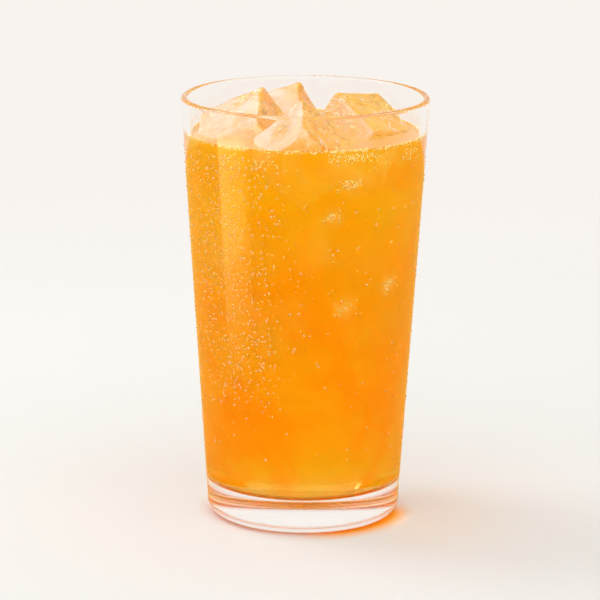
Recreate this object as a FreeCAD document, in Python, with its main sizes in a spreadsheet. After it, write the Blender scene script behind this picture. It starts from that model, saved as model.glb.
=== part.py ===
import FreeCAD, Part
import os
import Sketcher

# A tapered drinking glass of orange soda, with blocks of ice standing out of the drink.
# The origin is the middle of the glass's foot, +Z is up and the front of the glass is -Y.

doc = FreeCAD.newDocument("OrangeSoda")
doc.UndoMode = 0

# ---- driving sizes, in millimetres and degrees -------------------------------------------

sizes = doc.addObject("Spreadsheet::Sheet", "Sizes")

glass_sizes = {
    "glass_height": 149.0,
    "rim_width": 86.5,  # across the straight outside of the wall, carried up to the rim
    "foot_width": 67.0,  # the same, carried down to the table
    "wall": 2.4,
    "floor_thickness": 12.0,
    "foot_corner": 4.5,  # rounding of the lower outside edge
    "floor_corner": 4.5,  # rounding inside, where the wall meets the floor
    "lip_flat": 0.1,  # what the lip's two roundings leave between them
    "soda_drop": 13.0,  # from the rim down to the drink's level
    "ice_melt": 2.2,  # rounding of the ice's edges
    "ice_gap": 0.3,  # least gap from ice to wall and from block to block
}

# Each block: its three sides, the bearing of its centre (anticlockwise from +X), how far that
# centre stands in from the wall and below the drink's level, and its turn, tip and lean.
blocks = {
    "left": {"length": 28, "width": 24, "depth": 20, "bearing": 183, "inset": 19.4,
             "sink": 1.8, "turn": 158, "tip": 25, "lean": -126},
    "back": {"length": 20, "width": 22, "depth": 20, "bearing": 105, "inset": 15.5,
             "sink": 1.8, "turn": 168, "tip": 18.5, "lean": -129.5},
    "right": {"length": 25, "width": 26, "depth": 24, "bearing": 18, "inset": 20,
              "sink": 3.2, "turn": 152.5, "tip": 57, "lean": -165},
    "middle": {"length": 25, "width": 25, "depth": 20, "bearing": 268, "inset": 14.5,
               "sink": 2.6, "turn": 158.5, "tip": 40, "lean": -123.5},
}


def fill_sheet(rows):
    """Write each named size to the sheet as a name, a plain number and an alias."""
    for row, (name, value) in enumerate(rows.items(), start=1):
        sizes.set(f"A{row}", name)
        sizes.set(f"B{row}", str(value))
        sizes.setAlias(f"B{row}", name)


all_sizes = dict(glass_sizes)
for block, values in blocks.items():
    all_sizes.update({f"{block}_{key}": value for key, value in values.items()})
fill_sheet(all_sizes)
doc.recompute()


# ---- the glass's wall, as expressions over the sheet ---------------------------------------

def outer_radius(height):
    """Outside of the straight, tapered wall at a height."""
    taper = "(Sizes.rim_width - Sizes.foot_width) / 2 / Sizes.glass_height"
    return f"(Sizes.foot_width / 2 + {taper} * ({height}))"


def inner_radius(height):
    """Inside of the wall at a height."""
    return f"({outer_radius(height)} - Sizes.wall)"


floor_level = "Sizes.floor_thickness"
soda_level = "(Sizes.glass_height - Sizes.soda_drop)"


# ---- helpers ---------------------------------------------------------------------------------

def origin_plane(body, role):
    """One of a body's own origin planes, by its role."""
    return next(plane for plane in body.Origin.OriginFeatures if plane.Role == role)


def measure(body, terms):
    """The present values of some expressions."""
    return [float(body.evalExpression(term)) for term in terms]


def hold_corner(sketch, index, kind, term, value):
    """Tie the start of a sketch's line to its origin by an expression, or to an axis if it is 0."""
    axis = {"DistanceX": -2, "DistanceY": -1}[kind]
    if value == 0:
        sketch.addConstraint(Sketcher.Constraint("PointOnObject", index, 1, axis))
        return
    added = sketch.addConstraint(Sketcher.Constraint(kind, -1, 1, index, 1, value))
    sketch.setExpression(f"Constraints[{added}]", term)


def turned_body(name, corners):
    """A body turned about Z from corners given as (radius, height) expressions."""
    body = doc.addObject("PartDesign::Body", name)
    body.Label = name
    sketch = body.newObject("Sketcher::SketchObject", f"{name}_profile")
    sketch.AttachmentSupport = (origin_plane(body, "XZ_Plane"), [""])
    sketch.MapMode = "FlatFace"
    doc.recompute()

    points = [FreeCAD.Vector(*measure(body, corner), 0) for corner in corners]
    for start, end in zip(points, points[1:] + points[:1]):
        sketch.addGeometry(Part.LineSegment(start, end), False)
    for index in range(len(corners)):
        following = (index + 1) % len(corners)
        sketch.addConstraint(Sketcher.Constraint("Coincident", index, 2, following, 1))
    for index, (radius, height) in enumerate(corners):
        hold_corner(sketch, index, "DistanceX", radius, points[index].x)
        hold_corner(sketch, index, "DistanceY", height, points[index].y)
    doc.recompute()

    turned = body.newObject("PartDesign::Revolution", f"{name}_turned")
    turned.Profile = sketch
    turned.ReferenceAxis = (sketch, ["V_Axis"])
    turned.Angle = 360
    doc.recompute()
    return body


def ring_edge(shape, radius, height):
    """Name of the circular edge about Z nearest to a radius and a height."""
    def miss(edge):
        if not isinstance(edge.Curve, Part.Circle):
            return float("inf")
        return abs(edge.Curve.Radius - radius) + abs(edge.Curve.Center.z - height)
    edges = shape.Edges
    nearest = min(range(len(edges)), key=lambda index: miss(edges[index]))
    return f"Edge{nearest + 1}"


def round_ring(body, name, rings, radius):
    """Round the circular edges of a turned body at (radius, height) expressions."""
    base = body.Tip
    names = [ring_edge(base.Shape, *measure(body, ring)) for ring in rings]
    fillet = body.newObject("PartDesign::Fillet", f"{body.Name}_{name}")
    fillet.Base = (base, names)
    fillet.setExpression("Radius", radius)
    doc.recompute()
    return fillet


# ---- the glass: one turned piece with a round lip, a thick floor and a rounded foot ----------

def make_glass():
    corners = [
        ("0", "0"),
        ("Sizes.foot_width / 2", "0"),
        ("Sizes.rim_width / 2", "Sizes.glass_height"),
        ("Sizes.rim_width / 2 - Sizes.wall", "Sizes.glass_height"),
        (inner_radius(floor_level), floor_level),
        ("0", floor_level),
    ]
    glass = turned_body("glass", corners)
    round_ring(glass, "foot", [corners[1]], "Sizes.foot_corner")
    round_ring(glass, "floor", [corners[4]], "Sizes.floor_corner")
    round_ring(glass, "lip", [corners[2], corners[3]], "(Sizes.wall - Sizes.lip_flat) / 2")
    return glass


# ---- the drink before the ice displaces it: it fills the glass up to its level ----------------

def make_fill():
    corners = [
        ("0", floor_level),
        (inner_radius(floor_level), floor_level),
        (inner_radius(soda_level), soda_level),
        ("0", soda_level),
    ]
    fill = turned_body("fill", corners)
    round_ring(fill, "floor", [corners[1]], "Sizes.floor_corner")
    return fill


# ---- the ice: blocks melted round at their edges, lodged inside the wall ----------------------

def make_room():
    """The space that ice can take: inside the wall by the ice's gap, and open upwards."""
    top = "(2 * Sizes.glass_height)"
    corners = [
        ("0", floor_level),
        (f"{inner_radius(floor_level)} - Sizes.ice_gap", floor_level),
        (f"{inner_radius(top)} - Sizes.ice_gap", top),
        ("0", top),
    ]
    return turned_body("room", corners)


def make_block(name, grow="0"):
    """One block with its edges rounded, centred on its own middle and then laid in place."""
    use = "block" if grow == "0" else "keep_out"
    body = doc.addObject("PartDesign::Body", f"{name}_{use}")
    box = body.newObject("PartDesign::AdditiveBox", f"{name}_{use}_box")
    box.AttachmentSupport = (origin_plane(body, "XY_Plane"), [""])
    box.MapMode = "FlatFace"
    sides = {
        "x": ("Length", f"(Sizes.{name}_length + 2 * {grow})"),
        "y": ("Width", f"(Sizes.{name}_width + 2 * {grow})"),
        "z": ("Height", f"(Sizes.{name}_depth + 2 * {grow})"),
    }
    for axis, (side, term) in sides.items():
        box.setExpression(side, term)
        box.setExpression(f".AttachmentOffset.Base.{axis}", f"-{term} / 2")
    doc.recompute()

    melted = body.newObject("PartDesign::Fillet", f"{name}_{use}_melted")
    melted.Base = (box, ["Edge1"])
    melted.UseAllEdges = True
    melted.setExpression("Radius", f"Sizes.ice_melt + {grow}")

    out = f"({inner_radius(soda_level)} - Sizes.{name}_inset)"
    bearing = f"Sizes.{name}_bearing * 1 deg"
    middle = (f"create(<<vector>>; {out} * cos({bearing}); {out} * sin({bearing}); "
              f"{soda_level} - Sizes.{name}_sink)")
    turn = f"create(<<rotation>>; Sizes.{name}_turn; Sizes.{name}_tip; Sizes.{name}_lean)"
    body.setExpression("Placement", f"create(<<placement>>; {middle}; {turn})")
    doc.recompute()
    return body


def make_ice(names, room):
    """Each block keeps inside the wall and stands clear, by the ice's gap, of those laid before."""
    laid = []
    keep_outs = {}
    for name in names:
        piece = doc.addObject("Part::Common", f"{name}_inside")
        piece.Base = make_block(name)
        piece.Tool = room
        for earlier, keep_out in keep_outs.items():
            clear = doc.addObject("Part::Cut", f"{name}_clear_of_{earlier}")
            clear.Base = piece
            clear.Tool = keep_out
            piece = clear
        piece.Label = f"ice_{name}"
        laid.append(piece)
        keep_outs[name] = make_block(name, "Sizes.ice_gap")
    doc.recompute()
    return laid


# ---- the drink, cut round every block that stands in it ----------------------------------------

def make_soda(fill, ice):
    displaced = doc.addObject("Part::MultiFuse", "displaced")
    displaced.Shapes = ice
    soda = doc.addObject("Part::Cut", "soda")
    soda.Base = fill
    soda.Tool = displaced
    soda.Label = "soda"
    doc.recompute()
    return soda


glass = make_glass()
ice = make_ice(list(blocks), make_room())
soda = make_soda(make_fill(), ice)
nodes = [glass, soda] + ice


# ---- checks, then one STEP file for each node --------------------------------------------------

doc.recompute()
for item in doc.Objects:
    if {"Invalid", "Error"} & set(item.State):
        raise RuntimeError(f"{item.Label} did not compute: {item.State}")
for node in nodes:
    if node.Shape.isNull() or not node.Shape.isValid() or len(node.Shape.Solids) != 1:
        raise RuntimeError(f"{node.Label} is not one valid solid")

os.makedirs("parts", exist_ok=True)
for node in nodes:
    node.Shape.exportStep(f"parts/{node.Label}.step")
    print(node.Label, round(node.Shape.Volume / 1000, 2), "cm3", node.Shape.BoundBox)
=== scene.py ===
# A glass of orange soda with ice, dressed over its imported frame. Metres; front is -Y, up is +Z.
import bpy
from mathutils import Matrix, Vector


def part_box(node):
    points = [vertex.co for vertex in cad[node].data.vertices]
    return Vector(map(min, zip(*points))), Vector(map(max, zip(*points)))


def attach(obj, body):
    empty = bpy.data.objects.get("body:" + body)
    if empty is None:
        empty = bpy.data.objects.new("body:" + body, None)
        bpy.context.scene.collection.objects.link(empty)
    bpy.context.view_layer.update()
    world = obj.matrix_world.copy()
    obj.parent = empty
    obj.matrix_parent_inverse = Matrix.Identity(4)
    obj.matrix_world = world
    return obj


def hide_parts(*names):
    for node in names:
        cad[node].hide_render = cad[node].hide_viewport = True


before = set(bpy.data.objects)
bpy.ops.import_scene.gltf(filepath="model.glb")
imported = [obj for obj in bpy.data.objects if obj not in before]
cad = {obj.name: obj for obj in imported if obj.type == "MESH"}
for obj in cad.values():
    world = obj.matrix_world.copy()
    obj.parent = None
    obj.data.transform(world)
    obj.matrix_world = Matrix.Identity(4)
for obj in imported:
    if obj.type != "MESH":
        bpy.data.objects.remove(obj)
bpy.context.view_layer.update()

import math
import random
import bmesh
import bpy
from mathutils import Euler, Matrix, Vector, noise

scene = bpy.context.scene
mm = 0.001


# Shader maths: a socket that works in plain expressions.
class Value:
    def __init__(self, shade, socket):
        self.shade, self.socket = shade, socket

    def run(self, operation, *terms):
        return self.shade.node("ShaderNodeMath", {"operation": operation}, list(terms))

    def __add__(self, other): return self.run("ADD", self, other)
    def __radd__(self, other): return self.run("ADD", other, self)
    def __sub__(self, other): return self.run("SUBTRACT", self, other)
    def __rsub__(self, other): return self.run("SUBTRACT", other, self)
    def __mul__(self, other): return self.run("MULTIPLY", self, other)
    def __rmul__(self, other): return self.run("MULTIPLY", other, self)
    def __pow__(self, other): return self.run("POWER", self, other)

    def larger(self, other): return self.run("MAXIMUM", self, other)
    def angleFrom(self, other): return self.run("ARCTAN2", self, other) * 57.3  # in degrees

    def step(self, low, high, outLow=0.0, outHigh=1.0):  # smooth from low to high
        return self.shade.node("ShaderNodeMapRange", {"interpolation_type": "SMOOTHSTEP"}, {
            "Value": self, "From Min": low, "From Max": high, "To Min": outLow, "To Max": outHigh})


class Shade:
    def __init__(self, owner):
        owner.use_nodes = True
        self.tree = owner.node_tree
        self.tree.nodes.clear()

    def node(self, kind, settings=None, sockets=None, out=0):
        made = self.tree.nodes.new(kind)
        for key, value in (settings or {}).items():
            setattr(made, key, value)
        pairs = sockets.items() if isinstance(sockets, dict) else enumerate(sockets or [])
        for key, value in pairs:
            if isinstance(value, Value):
                self.tree.links.new(value.socket, made.inputs[key])
            else:
                made.inputs[key].default_value = value
        return Value(self, made.outputs[out]) if made.outputs else made

    def place(self):  # the piece's own coordinates, in metres
        return self.node("ShaderNodeTexCoord", out="Object")

    def axis(self, name):
        return self.node("ShaderNodeSeparateXYZ", None, [self.place()], out=name)

    def noise(self, scale, detail=2.0, rough=0.5, warp=0.0):
        return self.node("ShaderNodeTexNoise", None, {
            "Vector": self.place(), "Scale": scale, "Detail": detail,
            "Roughness": rough, "Distortion": warp})

    def mixColour(self, factor, first, second):
        return self.node("ShaderNodeMix", {"data_type": "RGBA"}, {0: factor, 6: first, 7: second}, out=2)

    def mixShader(self, factor, first, second):
        return self.node("ShaderNodeMixShader", None, [factor, first, second])

    def bump(self, height, distance, strength=1.0):
        return self.node("ShaderNodeBump", None, {
            "Height": height, "Distance": distance, "Strength": strength})

    def facing(self, direction):  # highest where the surface looks along a direction
        outward = self.node("ShaderNodeNewGeometry", out="Normal")
        return self.node("ShaderNodeVectorMath", {"operation": "DOT_PRODUCT"},
                         [outward, direction], out="Value")

    def awayFrom(self, point):
        return self.node("ShaderNodeVectorMath", {"operation": "DISTANCE"},
                         [self.place(), point], out="Value")

    def seen(self):  # 1 for camera, mirror and glass rays, 0 for light that dull surfaces gather
        camera, glossy, through = [self.node("ShaderNodeLightPath", out=name)
                                   for name in ("Is Camera Ray", "Is Glossy Ray", "Is Transmission Ray")]
        return camera.larger(glossy).larger(through)

    def finish(self, kind, **ends):
        self.node(kind, None, ends)


def newMaterial(name):
    material = bpy.data.materials.new(name)
    return material, Shade(material)


def newObject(name, data):
    made = bpy.data.objects.new(name, data)
    scene.collection.objects.link(made)
    return made


def newMesh(name, points, faces, material, smooth=True):
    mesh = bpy.data.meshes.new(name)
    mesh.from_pydata(points, [], faces)
    mesh.shade_smooth() if smooth else mesh.shade_flat()
    mesh.materials.append(material)
    return newObject(name, mesh)


def onCircle(radius, degrees, height):
    angle = math.radians(degrees)
    return radius * math.cos(angle), radius * math.sin(angle), height


def turnOutline(points, count):  # a closed solid turned about Z, with a point at each end
    rings = [p for p in points if p[0] > 1e-7]
    verts = [(0, 0, points[0][1]), (0, 0, points[-1][1])]
    for radius, height in rings:
        verts += [(radius * math.cos(2 * math.pi * k / count), radius * math.sin(2 * math.pi * k / count),
                   height) for k in range(count)]
    faces = []
    for k in range(count):
        after = (k + 1) % count
        faces.append((0, 2 + after, 2 + k))
        for ring in range(len(rings) - 1):
            a, b = 2 + ring * count, 2 + (ring + 1) * count
            faces.append((a + k, a + after, b + after, b + k))
        end = 2 + (len(rings) - 1) * count
        faces.append((1, end + k, end + after))
    return verts, faces


# Where things stand, read from the frame.
glassLow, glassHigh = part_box("glass")
sodaLow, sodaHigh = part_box("soda")
sodaLevel, sodaFloor = sodaHigh.z, sodaLow.z


def ringOf(node, low, high):  # the widest point of a node between two heights, as (radius, height)
    points = [p.co for p in cad[node].data.vertices if low <= p.co.z <= high]
    return max((math.hypot(p.x, p.y), p.z) for p in points)


reach = {"level": 0.01 * mm, "floor": 4.4 * mm, "lip": 4 * mm, "foot": 8 * mm}  # how far in to look for each
innerTop = ringOf("soda", sodaLevel - reach["level"], sodaLevel)
innerFoot = ringOf("soda", sodaFloor, sodaFloor + reach["floor"])
outerTop = ringOf("glass", glassHigh.z - reach["lip"], glassHigh.z)
outerFoot = ringOf("glass", glassLow.z, glassLow.z + reach["foot"])


def along(foot, top, height):
    return foot[0] + (top[0] - foot[0]) * (height - foot[1]) / (top[1] - foot[1])


def innerRadius(height): return along(innerFoot, innerTop, height)
def outerRadius(height): return along(outerFoot, outerTop, height)


print("inner wall", innerFoot, innerTop, "outer wall", outerFoot, outerTop)

# The glass.
glassLook = {
    "ior": 1.5, "smear": 0.015, "footBlur": 0.28, "waviness": 0.01 * mm,
    "smears": (55, 3, 0.6, 0.4), "waves": (70, 1, 0.4), "waveStrength": 0.35,
    "cleared": (1, 1, 1, 1), "smeared": (0.99, 0.995, 0.99, 1),
    "footRing": (4.6 * mm, 3.4 * mm),  # heights between which the frosting of the rounded foot sets in
    "dry": (0.6, 0.58, 0.54, 1),  # how much of its mirror the bare glass keeps
    "paintedOrangeMirror": (0.45, 0.3, 0.04, 1),  # painted reflection: the outside of the wall, where there is drink behind it, mirrors in orange
    "wet": (0.05, 0.05, 0.05, 1),  # and the inside where the drink lies against it
    "corner": (0.4, 0.3, 0.12, 1),  # painted shade: a dark line painted into the glass where the thick floor meets the wall
    "cornerRise": (3.2 * mm, 1.2 * mm), "cornerDepth": (3.5 * mm, 1.5 * mm),  # where it fades out
    "wallTint": (0.992, 0.978, 0.958, 1),  # of the bare wall above the drink
}


def skinDepth(s):  # how far inside the straight inner wall a point lies, in metres
    x, y, z = s.axis("X"), s.axis("Y"), s.axis("Z")
    slope = (innerTop[0] - innerFoot[0]) / (innerTop[1] - innerFoot[1])
    return z * slope + (innerFoot[0] - slope * innerFoot[1]) - (x * x + y * y) ** 0.5


def makeGlassMaterial():
    material, s = newMaterial("clearGlass")
    smear = s.noise(*glassLook["smears"]).step(0.45, 0.75)
    wave = s.bump(s.noise(*glassLook["waves"]), glassLook["waviness"], glassLook["waveStrength"])
    z = s.axis("Z")
    beside = z.step(sodaFloor - 0.6 * mm, sodaFloor - 0.4 * mm)
    beside = beside * z.step(sodaLevel, sodaLevel + 0.5 * mm, 1, 0)
    inner = skinDepth(s).step(-1.2 * mm, -0.8 * mm)  # the inside of the wall, not the outside
    footRing = z.step(*glassLook["footRing"]) * z.step(0.01 * mm, 0.1 * mm)
    # painted shade: the glass is darkened in a line on the inside, where its floor meets the wall
    high, low = glassLook["cornerRise"]
    corner = skinDepth(s).step(*glassLook["cornerDepth"]) * inner
    corner = corner * z.step(sodaFloor - 0.3 * mm, sodaFloor - 0.1 * mm)
    corner = corner * z.step(sodaFloor + high, sodaFloor + low)
    bare = z.step(sodaLevel + 0.5 * mm, sodaLevel + 1.5 * mm)  # the wall above the drink
    plain = s.mixColour(smear, glassLook["cleared"], glassLook["smeared"])
    plain = s.mixColour(bare, plain, glassLook["wallTint"])
    # where there is drink behind the wall, its mirror is painted orange
    dry, paintedOrangeMirror, wet = [s.node("ShaderNodeBsdfPrincipled", None, {
        "Base Color": s.mixColour(corner, plain, glassLook["corner"]),
        "Roughness": smear * glassLook["smear"] + footRing * glassLook["footBlur"],
        "IOR": glassLook["ior"], "Transmission Weight": 1.0,
        "Specular Tint": glassLook[side], "Normal": wave}) for side in ("dry", "paintedOrangeMirror", "wet")]
    besideDrink = s.mixShader(inner, paintedOrangeMirror, wet)
    s.finish("ShaderNodeOutputMaterial", Surface=s.mixShader(beside, dry, besideDrink))
    return material


clearGlass = makeGlassMaterial()
cad["glass"].data.materials.clear()
cad["glass"].data.materials.append(clearGlass)
print("glass dressed")

# The ice.
iceLook = {
    "ior": 1.31, "frost": 0.14, "frostSpots": (95, 4, 0.65, 0.8), "meltDepth": 0.3 * mm,
    "hollows": [((85, 2, 0.5, 0.5), 0.7), ((380, 2, 0.5), 0.14)],  # broad ones and fine ones, and how deep
    "milky": (0.02, 0.1),  # how white it is at least and at most
    "pale": 0.43, "paintedLitSide": (-0.62, -0.68, 0.2),  # painted light: how much whiter the faces towards the left front are painted, as if lit from there
    "palePatches": (45, 2, 0.5, 0.8),
    "topping": 0.2, "upSide": (0.35, 0.1, 0.93),  # and how much milkier it is on top
    "veins": 0.35, "veinPattern": (160, 5, 0.7, 2.6), "veinPatches": (60, 2),
    "body": (1, 1, 1, 1),
    "film": (1.0, 0.8, 0.2, 1), "filmPatches": (75, 3, 0.6, 1.2),  # the drink that clings to the other faces
    "filmOffPale": 0.85,  # how far the pale faces are free of it
}


def makeIceMaterial():
    material, s = newMaterial("meltingIce")
    (broad, broadDepth), (fine, fineDepth) = iceLook["hollows"]
    hollows = s.noise(*broad) * broadDepth + s.noise(*fine) * fineDepth
    frost = s.noise(*iceLook["frostSpots"]).step(0.45, 0.75)
    veins = s.noise(*iceLook["veinPattern"]).step(0.53, 0.62)
    veins = veins * s.noise(*iceLook["veinPatches"]).step(0.4, 0.6)
    # painted light: faces towards the left front turn whiter and lose the orange film, as if lit from there
    pale = s.facing(iceLook["paintedLitSide"]).step(0.4, 0.8)
    pale = pale * s.noise(*iceLook["palePatches"]).step(0.38, 0.6, 0.5, 1.0)
    upward = s.facing(iceLook["upSide"]).step(0.45, 0.9)
    coated = s.noise(*iceLook["filmPatches"]).step(0.42, 0.56).larger(upward)
    coated = coated * (1 - pale * iceLook["filmOffPale"]) * (1 - veins)
    tint = s.mixColour(coated, iceLook["body"], iceLook["film"])
    clear = s.node("ShaderNodeBsdfPrincipled", None, {
        "Base Color": tint, "Roughness": frost * iceLook["frost"], "IOR": iceLook["ior"],
        "Transmission Weight": 1.0, "Normal": s.bump(hollows, iceLook["meltDepth"])})
    milky = s.node("ShaderNodeBsdfPrincipled", None, {
        "Base Color": tint, "Roughness": 0.5, "IOR": iceLook["ior"], "Specular IOR Level": 0.0})
    low, high = iceLook["milky"]
    share = frost * (high - low) + low + pale * iceLook["pale"]
    share = share + veins * iceLook["veins"] + upward * iceLook["topping"]
    s.finish("ShaderNodeOutputMaterial", Surface=s.mixShader(share, clear, milky))
    return material


meltingIce = makeIceMaterial()
looseIce = [name for name in sorted(cad) if name.startswith("ice")]
meltLook = {
    "grid": 0.45 * mm,
    "waves": [("broad", 7 * mm, 1, 0.9 * mm), ("fine", 2.2 * mm, 2, 0.22 * mm)],  # name, size, detail, depth
}


def meltBlock(piece):  # a finer grid, then uneven hollows drawn into every side
    grid = piece.modifiers.new("grid", "REMESH")
    grid.mode, grid.voxel_size, grid.use_smooth_shade = "VOXEL", meltLook["grid"], True
    for name, size, depth, strength in meltLook["waves"]:
        texture = bpy.data.textures.get(name) or bpy.data.textures.new(name, "CLOUDS")
        texture.noise_scale, texture.noise_depth = size, depth
        wave = piece.modifiers.new(name, "DISPLACE")
        wave.texture, wave.texture_coords = texture, "LOCAL"
        wave.strength, wave.mid_level = strength, 1.0  # at 1 it only cuts inward


for name in looseIce:
    cad[name].data.materials.clear()
    cad[name].data.materials.append(meltingIce)
    meltBlock(cad[name])

sunkIce = {
    "bevel": 3.2 * mm, "longEdge": 6 * mm, "cuts": 9, "seed": 4,
    "grain": 9 * mm, "warp": 0.05, "ripple": 0.7 * mm,
    "blocks": [  # bearing, distance from the axis, height of the centre, sides, turn
        (205, 15, 96, (24, 22, 21), (20, 35, 10)),
        (305, 15, 98, (23, 21, 19), (50, 15, 40)),
        (75, 14, 99, (22, 22, 20), (35, 50, 0)),
        (345, 17, 71, (22, 21, 18), (70, 20, 30)),
        (135, 14, 74, (20, 22, 19), (30, 55, 60)),
        (240, 13, 72, (22, 19, 20), (15, 75, 20)),
    ],
}


def blockMesh(sides, seed):
    shape = bmesh.new()
    bmesh.ops.create_cube(shape, size=1.0, matrix=Matrix.Diagonal((*[side * mm for side in sides], 1)))
    bmesh.ops.bevel(shape, geom=shape.edges[:], offset=sunkIce["bevel"], segments=3, profile=0.5,
                    affect="EDGES")
    longOnes = [edge for edge in shape.edges if edge.calc_length() > sunkIce["longEdge"]]
    bmesh.ops.subdivide_edges(shape, edges=longOnes, cuts=sunkIce["cuts"], use_grid_fill=True)
    for point in shape.verts:
        where = point.co / sunkIce["grain"] + Vector((seed * 7.3, seed, 0))
        point.co *= 1 + sunkIce["warp"] * noise.noise(where * 0.6)
        point.co += point.co.normalized() * noise.noise(where * 1.6) * sunkIce["ripple"]
    return shape


def addTo(whole, part, matrix):
    part.transform(matrix)
    mesh = bpy.data.meshes.new("part")
    part.to_mesh(mesh)
    whole.from_mesh(mesh)
    bpy.data.meshes.remove(mesh)


def makeSunkIce():
    whole = bmesh.new()
    for index, (bearing, out, height, sides, turn) in enumerate(sunkIce["blocks"]):
        middle = Vector(onCircle(out * mm, bearing, height * mm))
        turned = Euler([math.radians(a) for a in turn]).to_matrix().to_4x4()
        addTo(whole, blockMesh(sides, index + sunkIce["seed"]), Matrix.Translation(middle) @ turned)
    bmesh.ops.triangulate(whole, faces=whole.faces[:])
    mesh = bpy.data.meshes.new("sunk_ice")
    whole.to_mesh(mesh)
    mesh.shade_smooth()
    mesh.materials.append(meltingIce)
    made = newObject("sunk_ice", mesh)
    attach(made, "root")
    return made


sunk = makeSunkIce()
print("ice made", len(sunk.data.polygons))

# The drink.
sodaLook = {
    "ior": 1.33, "density": 60.0, "passes": (0.999, 0.89, 0.0),  # what is left of red, green and blue
    "blur": 0.3, "body": (1, 1, 1, 1), "bodySwirl": (1, 0.98, 0.94, 1),
    "mirror": (0.05, 0.05, 0.05, 1),  # how much of its mirror the drink keeps
    "skinDeep": (1.0, 0.42, 0.0, 1), "skinLight": (1.0, 0.66, 0.0, 1),  # the milky orange seen at the wall
    "skinCloud": (0.5, 0.76),  # how much of it shows, where it is light and where it is deep
    "cloud": (0.2, 0.6, 0.45),  # how milky it is against sunk ice, against the upper ice and on top
    "deep": (1.0, 0.72, 0.08, 1), "light": (1.0, 0.9, 0.36, 1),  # against the ice
    "pale": (1.0, 0.66, 0.22, 1),  # and on top
    "intoWall": 0.2 * mm, "climb": 1.0 * mm, "climbReach": 1.2 * mm,  # how it meets the wall
    "roundOff": 4.5 * mm, "around": 200, "floorSteps": 10, "roundSteps": 12, "wallSteps": 40, "topSteps": 12,
    "froth": [  # bearing, height, reach
        (-64, 126, 9), (-76, 114, 6), (-41, 88, 7), (-69, 82, 6), (-48, 131, 12),
    ],
    "frothColour": (1.0, 0.84, 0.14, 1), "frothShare": 0.8,
    "frothPatches": (190, 3, 0.6, 1.5), "swirls": (60, 2, 0.5), "banks": (30, 3, 0.55, 0.6),
    "lighterUp": (0.045, 0.115),  # heights between which it gets lighter
    "cavity": 0.09 * mm,  # how much smaller than its block each hollow is
    "climbSteps": [0.2, 0.45, 0.75, 1.1, 1.5, 2, 2.7, 3.6, 5],  # in from the wall, in mm
    "creaseAngle": 40,
}


def makeSodaMaterial():
    material, s = newMaterial("orangeSoda")
    swirl = s.noise(*sodaLook["swirls"])
    z = s.axis("Z")
    within = skinDepth(s).step(0.3 * mm, 0.8 * mm)  # round the ice and on top, not at the wall
    within = within * z.step(sodaFloor + 1 * mm, sodaFloor + 3 * mm)
    onTop = z.step(sodaLevel - 0.6 * mm, sodaLevel - 0.1 * mm)
    nearTop = z.step(sodaLevel - 26 * mm, sodaLevel - 21 * mm)  # round the upper ice
    blur = (1 - within * 0.7) * z.step(sodaFloor + 2 * mm, sodaFloor + 8 * mm)
    blur = blur * (swirl * 0.1 + sodaLook["blur"])
    bank = s.noise(*sodaLook["banks"]).step(0.38, 0.62) * 0.6 + z.step(*sodaLook["lighterUp"]) * 0.4
    bank = bank + z.step(sodaFloor + 8 * mm, sodaFloor + 1 * mm) * 0.55
    patches = []
    for bearing, height, reach in sodaLook["froth"]:  # paler drink where froth gathers at the wall
        middle = onCircle(innerRadius(height * mm), bearing, height * mm)
        patches.append(s.awayFrom(middle).step(reach * mm, 0))
    froth = sum(patches) * s.noise(*sodaLook["frothPatches"]).step(0.3, 0.65) * sodaLook["frothShare"]
    clear = s.node("ShaderNodeBsdfPrincipled", None, {
        "Base Color": s.mixColour(swirl, sodaLook["body"], sodaLook["bodySwirl"]), "Roughness": blur,
        "IOR": sodaLook["ior"], "Transmission Weight": 1.0, "Specular Tint": sodaLook["mirror"]})
    skin = s.mixColour(bank, sodaLook["skinDeep"], sodaLook["skinLight"])
    skin = s.mixColour(froth, skin, sodaLook["frothColour"])
    deeper = s.mixColour(swirl.step(0.4, 0.6), sodaLook["deep"], sodaLook["light"])
    deeper = s.mixColour(onTop, deeper, sodaLook["pale"])
    cloud = s.node("ShaderNodeBsdfPrincipled", None, {
        "Base Color": s.mixColour(within, skin, deeper),
        "Roughness": 0.4, "IOR": sodaLook["ior"], "Specular IOR Level": 0.0})
    inside = s.node("ShaderNodeVolumeAbsorption", None, {
        "Color": (*sodaLook["passes"], 1), "Density": sodaLook["density"]})
    low, middle, top = sodaLook["cloud"]
    share = within * (low + nearTop * (middle - low) + onTop * (top - middle))
    thin, thick = sodaLook["skinCloud"]
    skinShare = (1 - within) * z.step(sodaFloor - 0.15 * mm, sodaFloor + 3 * mm)
    share = share + skinShare * (bank * (thin - thick) + thick)
    s.finish("ShaderNodeOutputMaterial", Volume=inside, Surface=s.mixShader(share, clear, cloud))
    return material


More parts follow.
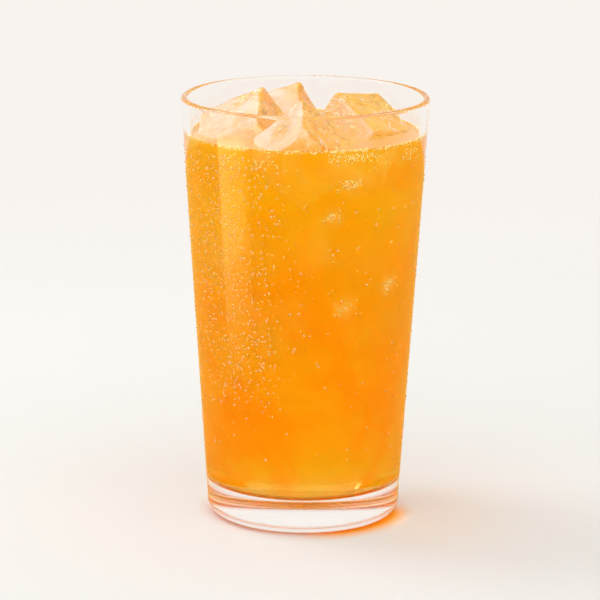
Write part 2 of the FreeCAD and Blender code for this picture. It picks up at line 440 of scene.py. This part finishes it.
def sodaOutline():  # radius and height, from the middle of the floor round to the middle of the top
    into, roundOff = sodaLook["intoWall"], sodaLook["roundOff"]
    lean = math.atan2(innerTop[0] - innerFoot[0], innerTop[1] - innerFoot[1])
    low = sodaFloor - into
    centre = Vector((innerFoot[0] - roundOff * math.cos(lean), sodaFloor + roundOff))
    floorSteps, roundSteps = sodaLook["floorSteps"], sodaLook["roundSteps"]
    wallSteps, topSteps = sodaLook["wallSteps"], sodaLook["topSteps"]
    points = [(centre.x * k / floorSteps, low) for k in range(floorSteps)]
    for k in range(roundSteps + 1):  # the rounding where the floor meets the wall
        angle = math.radians(-90) + (math.radians(90) - lean) * k / roundSteps
        points.append((centre.x + (roundOff + into) * math.cos(angle),
                       centre.y + (roundOff + into) * math.sin(angle)))
    first = points[-1][1]
    last = sodaLevel + sodaLook["climb"]
    for k in range(1, wallSteps + 1):
        height = first + (last - first) * k / wallSteps
        points.append((innerRadius(height) + into, height))
    rim = points[-1][0]
    inward = [step * mm for step in sodaLook["climbSteps"]]
    inward += [rim * k / topSteps for k in range(2, topSteps)]
    for step in inward:
        climb = sodaLook["climb"] * math.exp(-max(0, step - into) / sodaLook["climbReach"])
        points.append((rim - step, sodaLevel + climb))
    return points


def makeHollows(source):  # a welded copy of some ice, drawn in a little
    shape = bmesh.new()
    graph = bpy.context.evaluated_depsgraph_get()
    for piece in source:
        shape.from_mesh(piece.evaluated_get(graph).to_mesh())
    bmesh.ops.remove_doubles(shape, verts=shape.verts[:], dist=0.002 * mm)
    bmesh.ops.recalc_face_normals(shape, faces=shape.faces[:])
    shape.normal_update()
    shrunk = [(point, point.co - point.normal * sodaLook["cavity"]) for point in shape.verts]
    for point, place in shrunk:
        point.co = place
    mesh = bpy.data.meshes.new("hollows")
    shape.to_mesh(mesh)
    return newObject("hollows", mesh)


def makeSoda():
    verts, faces = turnOutline(sodaOutline() + [(0, sodaLevel)], sodaLook["around"])
    made = newMesh("drink", verts, faces, makeSodaMaterial())
    hollow = makeHollows([cad[name] for name in looseIce] + [sunk])
    cut = made.modifiers.new("hollows", "BOOLEAN")
    cut.object, cut.operation, cut.solver = hollow, "DIFFERENCE", "MANIFOLD"
    bpy.context.view_layer.update()
    evaluated = made.evaluated_get(bpy.context.evaluated_depsgraph_get())
    carved = bpy.data.meshes.new_from_object(evaluated)
    made.modifiers.clear()
    made.data = carved
    carved.shade_smooth()
    carved.set_sharp_from_angle(angle=math.radians(sodaLook["creaseAngle"]))
    bpy.data.objects.remove(hollow)
    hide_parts("soda")
    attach(made, "root")
    return made


drink = makeSoda()
print("soda made", len(drink.data.polygons))

# Bubbles and droplets.
class Scatter:  # many small shapes gathered in one mesh
    def __init__(self):
        self.points, self.faces = [], []

    def add(self, shape, matrix, flip=False):
        first = len(self.points)
        self.points += [matrix @ Vector(p) for p in shape[0]]
        self.faces += [tuple(first + i for i in (reversed(face) if flip else face)) for face in shape[1]]

    def piece(self, name, material, slot):
        made = newMesh(name, self.points, self.faces, material)
        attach(made, "root")
        return made


bubbleLook = {
    "seed": 11, "wall": 170, "rim": 640,  # how many stand on the wall and along the surface line
    "sizes": (0.08, 0.24), "rimSizes": (0.18, 0.5), "clusterGrowth": 1.7,  # radii in mm
    "proud": 0.2, "rimProud": 0.3,  # how far in from the wall each stands, in its own radii
    "lowest": 10 * mm, "margins": 13 * mm, "rising": 0.6,  # a lower power gathers more near the top
    "rimDrop": 0.9, "rimGather": 1.5, "underSurface": 0.05 * mm,
    "pale": (1, 0.96, 0.52, 1), "warm": (1, 0.86, 0.26, 1),
    "grain": 900, "rough": 0.1, "clear": 0.12, "rings": 7, "around": 10,
    "clusters": [  # bearing, height, spread along and up the wall, how many
        (-67, 125, 2.6, 0.9, 60), (-76, 114, 1.5, 1.1, 40), (-41, 88, 1.4, 1.3, 60),
        (-69, 82, 2.4, 1.2, 16),
        (-65, 134.2, 5.5, 0.9, 110), (-30, 133, 4.0, 1.8, 70), (-125, 132, 7.0, 1.4, 60),
    ],
}


def makeBubbleMaterial():
    material, s = newMaterial("gasBubble")
    s.finish("ShaderNodeOutputMaterial", Surface=s.node("ShaderNodeBsdfPrincipled", None, {
        "Base Color": s.mixColour(s.noise(bubbleLook["grain"]), bubbleLook["pale"], bubbleLook["warm"]),
        "Roughness": bubbleLook["rough"], "IOR": sodaLook["ior"],
        "Transmission Weight": bubbleLook["clear"]}))
    return material


def ballOf(rings, around):
    ups = [math.pi * ring / rings for ring in range(1, rings)]
    return turnOutline([(0, -1)] + [(math.sin(up), -math.cos(up)) for up in ups] + [(0, 1)], around)


def makeBubbles():
    dice = random.Random(bubbleLook["seed"])
    small, big = bubbleLook["sizes"]
    made = Scatter()
    ball = ballOf(bubbleLook["rings"], bubbleLook["around"])
    into = sodaLook["intoWall"]
    room = sodaLevel - sodaFloor - bubbleLook["margins"]

    def put(angle, inward, height, radius):
        out = innerRadius(height) - inward
        made.add(ball, Matrix.Translation((out * math.cos(angle), out * math.sin(angle), height))
                 @ Matrix.Scale(radius, 4), flip=True)

    for _ in range(bubbleLook["wall"]):
        radius = dice.uniform(small, big) * mm
        height = sodaFloor + bubbleLook["lowest"] + room * dice.random() ** bubbleLook["rising"]
        put(dice.uniform(0, 2 * math.pi), radius * bubbleLook["proud"] - into, height, radius)
    for _ in range(bubbleLook["rim"]):
        radius = dice.uniform(*bubbleLook["rimSizes"]) * mm
        angle = dice.uniform(0, 2 * math.pi)
        drop = dice.uniform(0.0, bubbleLook["rimDrop"]) ** bubbleLook["rimGather"] * mm
        put(angle, radius * bubbleLook["rimProud"] - into, sodaLevel + sodaLook["climb"] - drop, radius)
    for bearing, height, sideways, up, count in bubbleLook["clusters"]:
        for _ in range(count):
            radius = dice.uniform(small, big * bubbleLook["clusterGrowth"]) * mm
            angle = math.radians(bearing) + dice.gauss(0, sideways) * mm / innerTop[0]
            rise = height * mm + dice.gauss(0, up) * mm
            highest = sodaLevel - radius - bubbleLook["underSurface"]
            put(angle, radius * bubbleLook["proud"] - into, min(rise, highest), radius)
    return made.piece("bubbles", makeBubbleMaterial(), "soda")


dropLook = {
    "seed": 23, "count": 2600,
    "sizes": (0.11, 0.43), "smaller": 2.6,  # radii in mm, and the power that favours small ones
    "ior": 1.33, "rough": 0.05, "clear": 0.72, "grain": 700,
    "pale": (1, 0.92, 0.68, 1), "warm": (1, 0.8, 0.4, 1),
    "rings": 3, "around": 9, "flat": 0.62, "below": 0.3,  # height over the glass and depth in it, in radii
    "stretch": (0.85, 1.2), "spin": 6.28, "apart": 1.02,
    "heights": (22, 134), "anywhere": 0.025,  # where they stand, and the chance that one does
    "front": {"bearing": -130, "spread": 22, "chance": 0.9, "above": 44, "fullFrom": 90},
    "left": {"beyond": 165, "chance": 0.12}, "right": {"within": 14, "chance": 0.12},
}


def makeDropMaterial():
    material, s = newMaterial("condensation")
    s.finish("ShaderNodeOutputMaterial", Surface=s.node("ShaderNodeBsdfPrincipled", None, {
        "Base Color": s.mixColour(s.noise(dropLook["grain"]), dropLook["pale"], dropLook["warm"]),
        "Roughness": dropLook["rough"], "IOR": dropLook["ior"], "Transmission Weight": dropLook["clear"]}))
    return material


def dome(rings, around, flat, below):  # a drop lying on the glass, its back a little in it
    points = [(0, 0, flat)]
    for ring in range(1, rings + 1):
        up = math.pi / 2 * ring / rings
        points += [(math.sin(up) * math.cos(2 * math.pi * k / around),
                    math.sin(up) * math.sin(2 * math.pi * k / around), math.cos(up) * flat)
                   for k in range(around)]
    last = 1 + (rings - 1) * around
    points += [(points[last + k][0], points[last + k][1], -below) for k in range(around)]
    points.append((0, 0, -below))
    faces = []
    for k in range(around):
        after = (k + 1) % around
        faces.append((0, 1 + k, 1 + after))
        for ring in range(rings):
            a, b = 1 + ring * around, 1 + (ring + 1) * around
            faces.append((a + k, b + k, b + after, a + after))
        end = 1 + rings * around
        faces.append((len(points) - 1, end + after, end + k))
    return points, faces


def dropChance(bearing, height):
    front, left, right = dropLook["front"], dropLook["left"], dropLook["right"]
    share = math.exp(-((bearing - front["bearing"]) / front["spread"]) ** 2)
    fading = min(1, height / (front["fullFrom"] * mm)) * (height > front["above"] * mm)
    chance = dropLook["anywhere"] + front["chance"] * share * fading
    chance += left["chance"] * (abs(bearing) > left["beyond"])
    return chance + right["chance"] * (abs(bearing) < right["within"])


def makeDroplets():
    dice = random.Random(dropLook["seed"])
    small, big = dropLook["sizes"]
    made = Scatter()
    shape = dome(dropLook["rings"], dropLook["around"], dropLook["flat"], dropLook["below"])
    taken = {}  # drops already there, by square millimetre
    lean = math.atan2(outerTop[0] - outerFoot[0], outerTop[1] - outerFoot[1])
    count = 0
    while count < dropLook["count"]:
        height = dice.uniform(*dropLook["heights"]) * mm
        angle = dice.uniform(-math.pi, math.pi)
        if dice.random() > dropChance(math.degrees(angle), height):
            continue
        radius = (small + (big - small) * dice.random() ** dropLook["smaller"]) * mm
        out = outerRadius(height)
        across, up = round(angle * out / mm), round(height / mm)
        cells = [(across + dx, up + dz) for dx in (-1, 0, 1) for dz in (-1, 0, 1)]
        near = [item for cell in cells for item in taken.get(cell, [])]
        if any(math.hypot(angle * out - a, height - b) < (radius + r) * dropLook["apart"]
               for a, b, r in near):
            continue
        taken.setdefault((across, up), []).append((angle * out, height, radius))
        turn = Matrix.Rotation(angle, 4, "Z") @ Matrix.Rotation(math.pi / 2 + lean, 4, "Y")
        turn = turn @ Matrix.Rotation(dice.uniform(0, dropLook["spin"]), 4, "Z")
        scale = Matrix.Diagonal((radius * dice.uniform(*dropLook["stretch"]), radius, radius, 1))
        place = Matrix.Translation((out * math.cos(angle), out * math.sin(angle), height))
        made.add(shape, place @ turn @ scale)
        count += 1
    return made.piece("condensation", makeDropMaterial(), "glass")


bubbles = makeBubbles()
droplets = makeDroplets()
print("bubbles", len(bubbles.data.polygons), "droplets", len(droplets.data.polygons))

# Table, backdrop, lights and camera.
studio = {
    "paper": (0.939, 0.896, 0.855, 1),
    "table": (0.755, 0.768, 0.754, 1), "tableGrain": (0.748, 0.76, 0.747, 1),
    "grain": (300, 3), "grainDepth": 0.05 * mm,
    "horizon": (0.16, 0.6),  # distances between which the table turns to glowing paper
    "cast": (0.95, 0.44, 0.03, 1),  # painted light: the orange light that the drink casts beside its foot, front right, painted into the table's colour
    "castNear": {"reach": 13 * mm, "fall": 2.2, "strength": 1.0, "from": (-100, -62), "to": (-12, 12)},
    "castFar": {"reach": 95 * mm, "fall": 2, "strength": 0.12, "from": (-75, -25), "to": (10, 50)},
    "footShare": 0.72,  # of the rim's radius, where the glass meets the table
    "width": 6.0, "front": -4.0, "flatTo": -0.5, "back": 1.6, "rise": 2.4, "bend": 0.6, "under": 0.02 * mm,
    "fill": 0.88, "fillColour": (1, 0.97, 0.95, 1),
    "frontBoost": 1.7, "frontFade": (-0.7, 0.1),  # how much brighter the room is in front than behind
}


def castLight(spread, beside, look):
    foot = glassHigh.x * studio["footShare"]
    near = spread.step(foot, foot + look["reach"], 1, 0) ** look["fall"]
    return near * beside.step(*look["from"]) * beside.step(*look["to"], 1, 0) * look["strength"]


def makeStage():
    material, s = newMaterial("palePaper")
    x, y = s.axis("X"), s.axis("Y")
    spread = (x * x + y * y) ** 0.5
    beside = y.angleFrom(x)
    grain = s.noise(*studio["grain"])
    # painted light: the drink's orange light beside the foot is painted into the table's colour
    cast = castLight(spread, beside, studio["castNear"]) + castLight(spread, beside, studio["castFar"])
    plain = s.mixColour(grain, studio["table"], studio["tableGrain"])
    matte = s.node("ShaderNodeBsdfPrincipled", None, {
        "Base Color": s.mixColour(cast, plain, studio["cast"]), "Roughness": 1.0,
        "Specular IOR Level": 0.0, "Normal": s.bump(grain, studio["grainDepth"], 0.1)})
    glow = s.node("ShaderNodeEmission", None, {"Color": studio["paper"], "Strength": 1.0})
    away = spread.step(*studio["horizon"])
    s.finish("ShaderNodeOutputMaterial", Surface=s.mixShader(away * s.seen(), matte, glow))
    back, bend = studio["back"], studio["bend"]
    line = [(studio["front"], 0.0), (studio["flatTo"], 0.0), (back - bend, 0.0)]
    line += [(back - bend + bend * math.sin(math.radians(a)), bend - bend * math.cos(math.radians(a)))
             for a in range(10, 91, 10)]
    line.append((back, studio["rise"]))
    points = [(side * studio["width"] / 2, y, z) for y, z in line for side in (-1, 1)]
    faces = [(2 * k, 2 * k + 1, 2 * k + 3, 2 * k + 2) for k in range(len(line) - 1)]
    floor = newMesh("studio_paper", points, faces, material)
    floor.location.z = -studio["under"]


def onlyMirrored(card):  # the wall of the glass mirrors a card, and nothing else sees it
    card.visible_camera = card.visible_diffuse = False
    card.visible_transmission = card.visible_shadow = False


whiteCard = {
    "distance": 0.165, "tall": 0.106, "steps": 8,
    "low": 44, "high": 83, "softLow": 16, "softHigh": 5,  # degrees to the left of the front
    "fadeIn": (-0.02, 0.085), "fadeOut": (0.098, 0.106),  # heights
    "dark": (0, 0, 0, 1), "lit": (1, 0.8, 0.45, 1), "strength": 9.0,
}


def makeWhiteCard():  # bright, at the front left
    material, s = newMaterial("whiteCard")
    low, high, steps = whiteCard["low"], whiteCard["high"], whiteCard["steps"]
    leftward = s.axis("X").angleFrom(s.axis("Y") * -1) * -1
    edges = leftward.step(low, low + whiteCard["softLow"])
    edges = edges * leftward.step(high - whiteCard["softHigh"], high, 1, 0)
    fade = s.axis("Z").step(*whiteCard["fadeIn"]) * s.axis("Z").step(*whiteCard["fadeOut"], 1, 0)
    glow = s.node("ShaderNodeEmission", None, {
        "Color": s.mixColour(edges * fade, whiteCard["dark"], whiteCard["lit"]),
        "Strength": whiteCard["strength"]})
    s.finish("ShaderNodeOutputMaterial", Surface=glow)
    points = [onCircle(whiteCard["distance"], -90 - low - (high - low) * k / steps, z)
              for k in range(steps + 1) for z in (0.0, whiteCard["tall"])]
    faces = [(2 * k, 2 * k + 1, 2 * k + 3, 2 * k + 2) for k in range(steps)]
    onlyMirrored(newMesh("white_card", points, faces, material, smooth=False))


orangeCard = {
    "near": 0.036, "far": 0.6, "level": 1 * mm, "around": 48,
    "grain": 60, "deep": (0.74, 0.46, 0.1, 1), "light": (0.79, 0.49, 0.11, 1),
}


def makeOrangeCard():  # keeps the wall from mirroring pale paper over the drink
    material, s = newMaterial("orangeCard")
    s.finish("ShaderNodeOutputMaterial", Surface=s.node("ShaderNodeBsdfPrincipled", None, {
        "Base Color": s.mixColour(s.noise(orangeCard["grain"]), orangeCard["deep"], orangeCard["light"]),
        "Roughness": 1.0, "Specular IOR Level": 0.0}))
    count = orangeCard["around"]
    points = [onCircle(reach, 360 * k / count, orangeCard["level"])
              for k in range(count) for reach in (orangeCard["near"], orangeCard["far"])]
    faces = [(2 * k, 2 * k + 1, (2 * k + 3) % (2 * count), (2 * k + 2) % (2 * count)) for k in range(count)]
    onlyMirrored(newMesh("orange_card", points, faces, material, smooth=False))


keyLight = {"place": (-0.62, 0.28, 0.95), "aim": (0, 0, 0.05), "size": 0.5, "power": 2.8}


def makeKeyLight():
    light = bpy.data.lights.new("key", "AREA")
    light.shape, light.size, light.energy = "DISK", keyLight["size"], keyLight["power"]
    made = newObject("key", light)
    made.location = keyLight["place"]
    looking = Vector(keyLight["aim"]) - Vector(keyLight["place"])
    made.rotation_euler = looking.to_track_quat("-Z", "Y").to_euler()
    made.visible_camera = False


def makeWorld():
    world = bpy.data.worlds.new("softRoom")
    scene.world = world
    s = Shade(world)
    direction = s.node("ShaderNodeTexCoord", out="Generated")
    depth = s.node("ShaderNodeSeparateXYZ", None, [direction], out="Y")
    front = depth.step(*studio["frontFade"], studio["frontBoost"], 1.0)
    fill = s.node("ShaderNodeBackground", None, {
        "Color": studio["fillColour"], "Strength": front * studio["fill"]})
    wall = s.node("ShaderNodeBackground", None, {"Color": studio["paper"], "Strength": front})
    s.finish("ShaderNodeOutputWorld", Surface=s.mixShader(s.seen(), fill, wall))


view = {
    "lens": 193.2, "sensor": 36, "farthest": 50, "place": (-0.00147, -1.1, 0.3396),
    "down": 13.47, "roll": 0.37,  # in degrees
}


def makeCamera():
    camera = bpy.data.cameras.new("camera")
    camera.lens, camera.sensor_width, camera.clip_end = view["lens"], view["sensor"], view["farthest"]
    made = newObject("camera", camera)
    made.matrix_world = (Matrix.Translation(view["place"])
                         @ Matrix.Rotation(math.radians(90 - view["down"]), 4, "X")
                         @ Matrix.Rotation(math.radians(view["roll"]), 4, "Z"))
    scene.camera = made


makeStage()
makeWhiteCard()
makeOrangeCard()
makeKeyLight()
makeWorld()
makeCamera()
scene.view_settings.view_transform = "Standard"
bounces = {"clear": 160, "dull": 16}  # light crosses many surfaces between glass, drink and ice
scene.cycles.max_bounces = bounces["clear"]
scene.cycles.transmission_bounces = bounces["clear"]
scene.cycles.glossy_bounces = bounces["clear"]
scene.cycles.diffuse_bounces = bounces["dull"]
scene.cycles.blur_glossy = 0.0
print("stage set")
